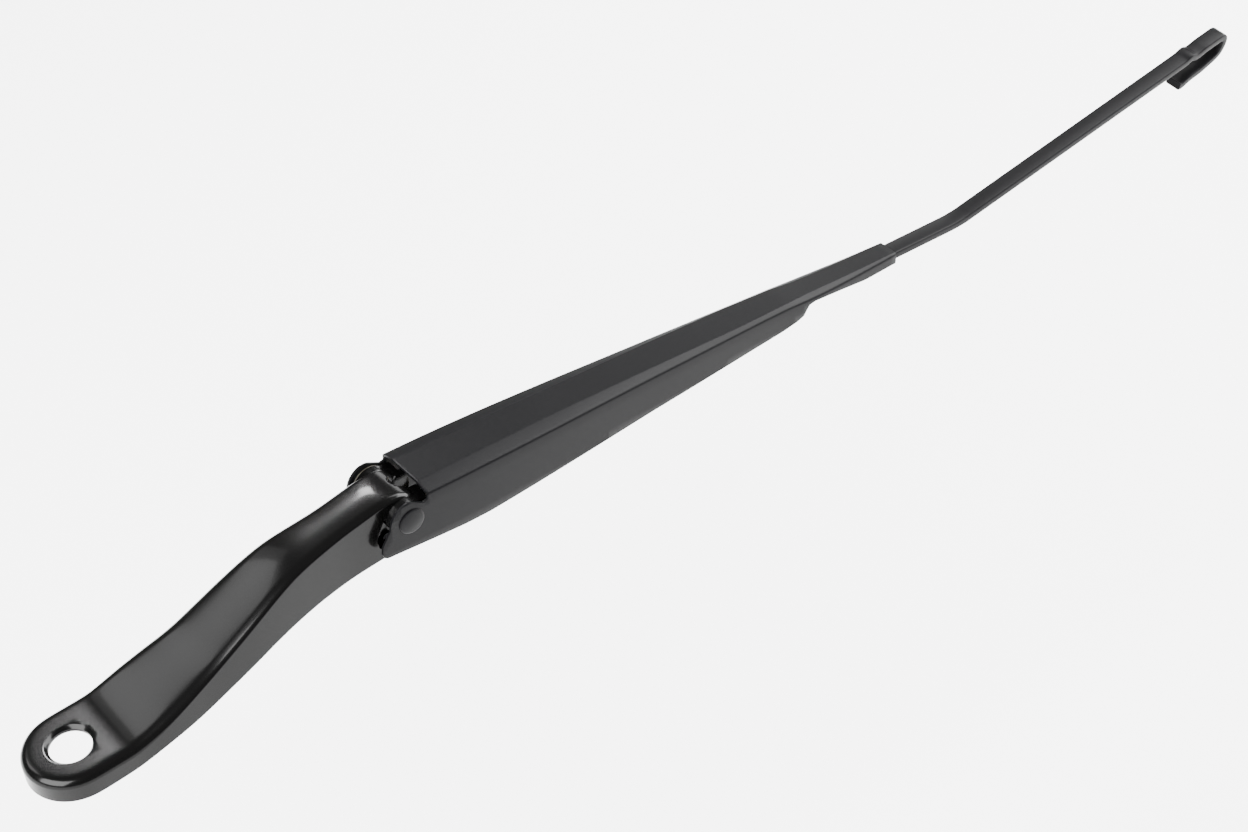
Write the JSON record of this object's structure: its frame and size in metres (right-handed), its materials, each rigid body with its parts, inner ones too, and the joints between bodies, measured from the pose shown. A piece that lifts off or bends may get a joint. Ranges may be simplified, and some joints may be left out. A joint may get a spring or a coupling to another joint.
{
  "type": "wiper arm",
  "caption": "Windscreen wiper arm: cast head with a spindle bore, hinged pressed channel with a hidden tension spring, and a flat rod bent into a hook for the blade.",
  "frame": {"origin": "centre of the spindle bore, at the seat under the head's plate", "axes": "+Z along the spindle, away from the car; +X from the spindle towards the hook; +Y to the far side of the arm"},
  "size_m": [0.726, 0.0442, 0.0547],
  "materials": {
    "head_paint": "gloss black paint on die-cast zinc",
    "channel_paint": "satin black paint on pressed steel",
    "rod_paint": "satin black paint on flat steel strip",
    "rivet_paint": "satin black paint on a steel rivet",
    "washer_plate": "zinc-plated steel",
    "pin_steel": "bright steel",
    "link_plate": "yellowish zinc plate on pressed steel",
    "spring_steel": "oiled spring steel wire"
  },
  "bodies": {
    "head": {"arm_head": "head_paint", "spring_anchor_pin": "pin_steel"},
    "arm": {"channel": "channel_paint", "arm_rod": "rod_paint", "hinge_pin": "rivet_paint", "washer_near": "washer_plate", "washer_far": "washer_plate"},
    "link": {"spring_link": "link_plate"},
    "spring": {"tension_spring": "spring_steel"}
  },
  "joints": [
    {"name": "arm_hinge", "type": "hinge", "parent": "head", "child": "arm", "pos_m": [0.1655, 0, 0.0349], "axis": [0, -1, 0], "range_deg": [0, 60], "stiffness_Nm_per_rad": 2, "springref_deg": -34.38, "deforming": ["tension_spring"]},
    {"name": "link_swing", "type": "hinge", "parent": "head", "child": "link", "pos_m": [0.1575, 0, 0.0233], "axis": [0, -1, 0], "range_deg": [0, 58]},
    {"name": "spring_swing", "type": "hinge", "parent": "arm", "child": "spring", "pos_m": [0.35055, 0, 0.01605], "axis": [0, -1, 0], "range_deg": [-5, 1]}
  ],
  "couplings": [
    {"joint": "link_swing", "follows": "arm_hinge", "ratio": 0.9403},
    {"joint": "spring_swing", "follows": "arm_hinge", "ratio": -0.0597}
  ]
}
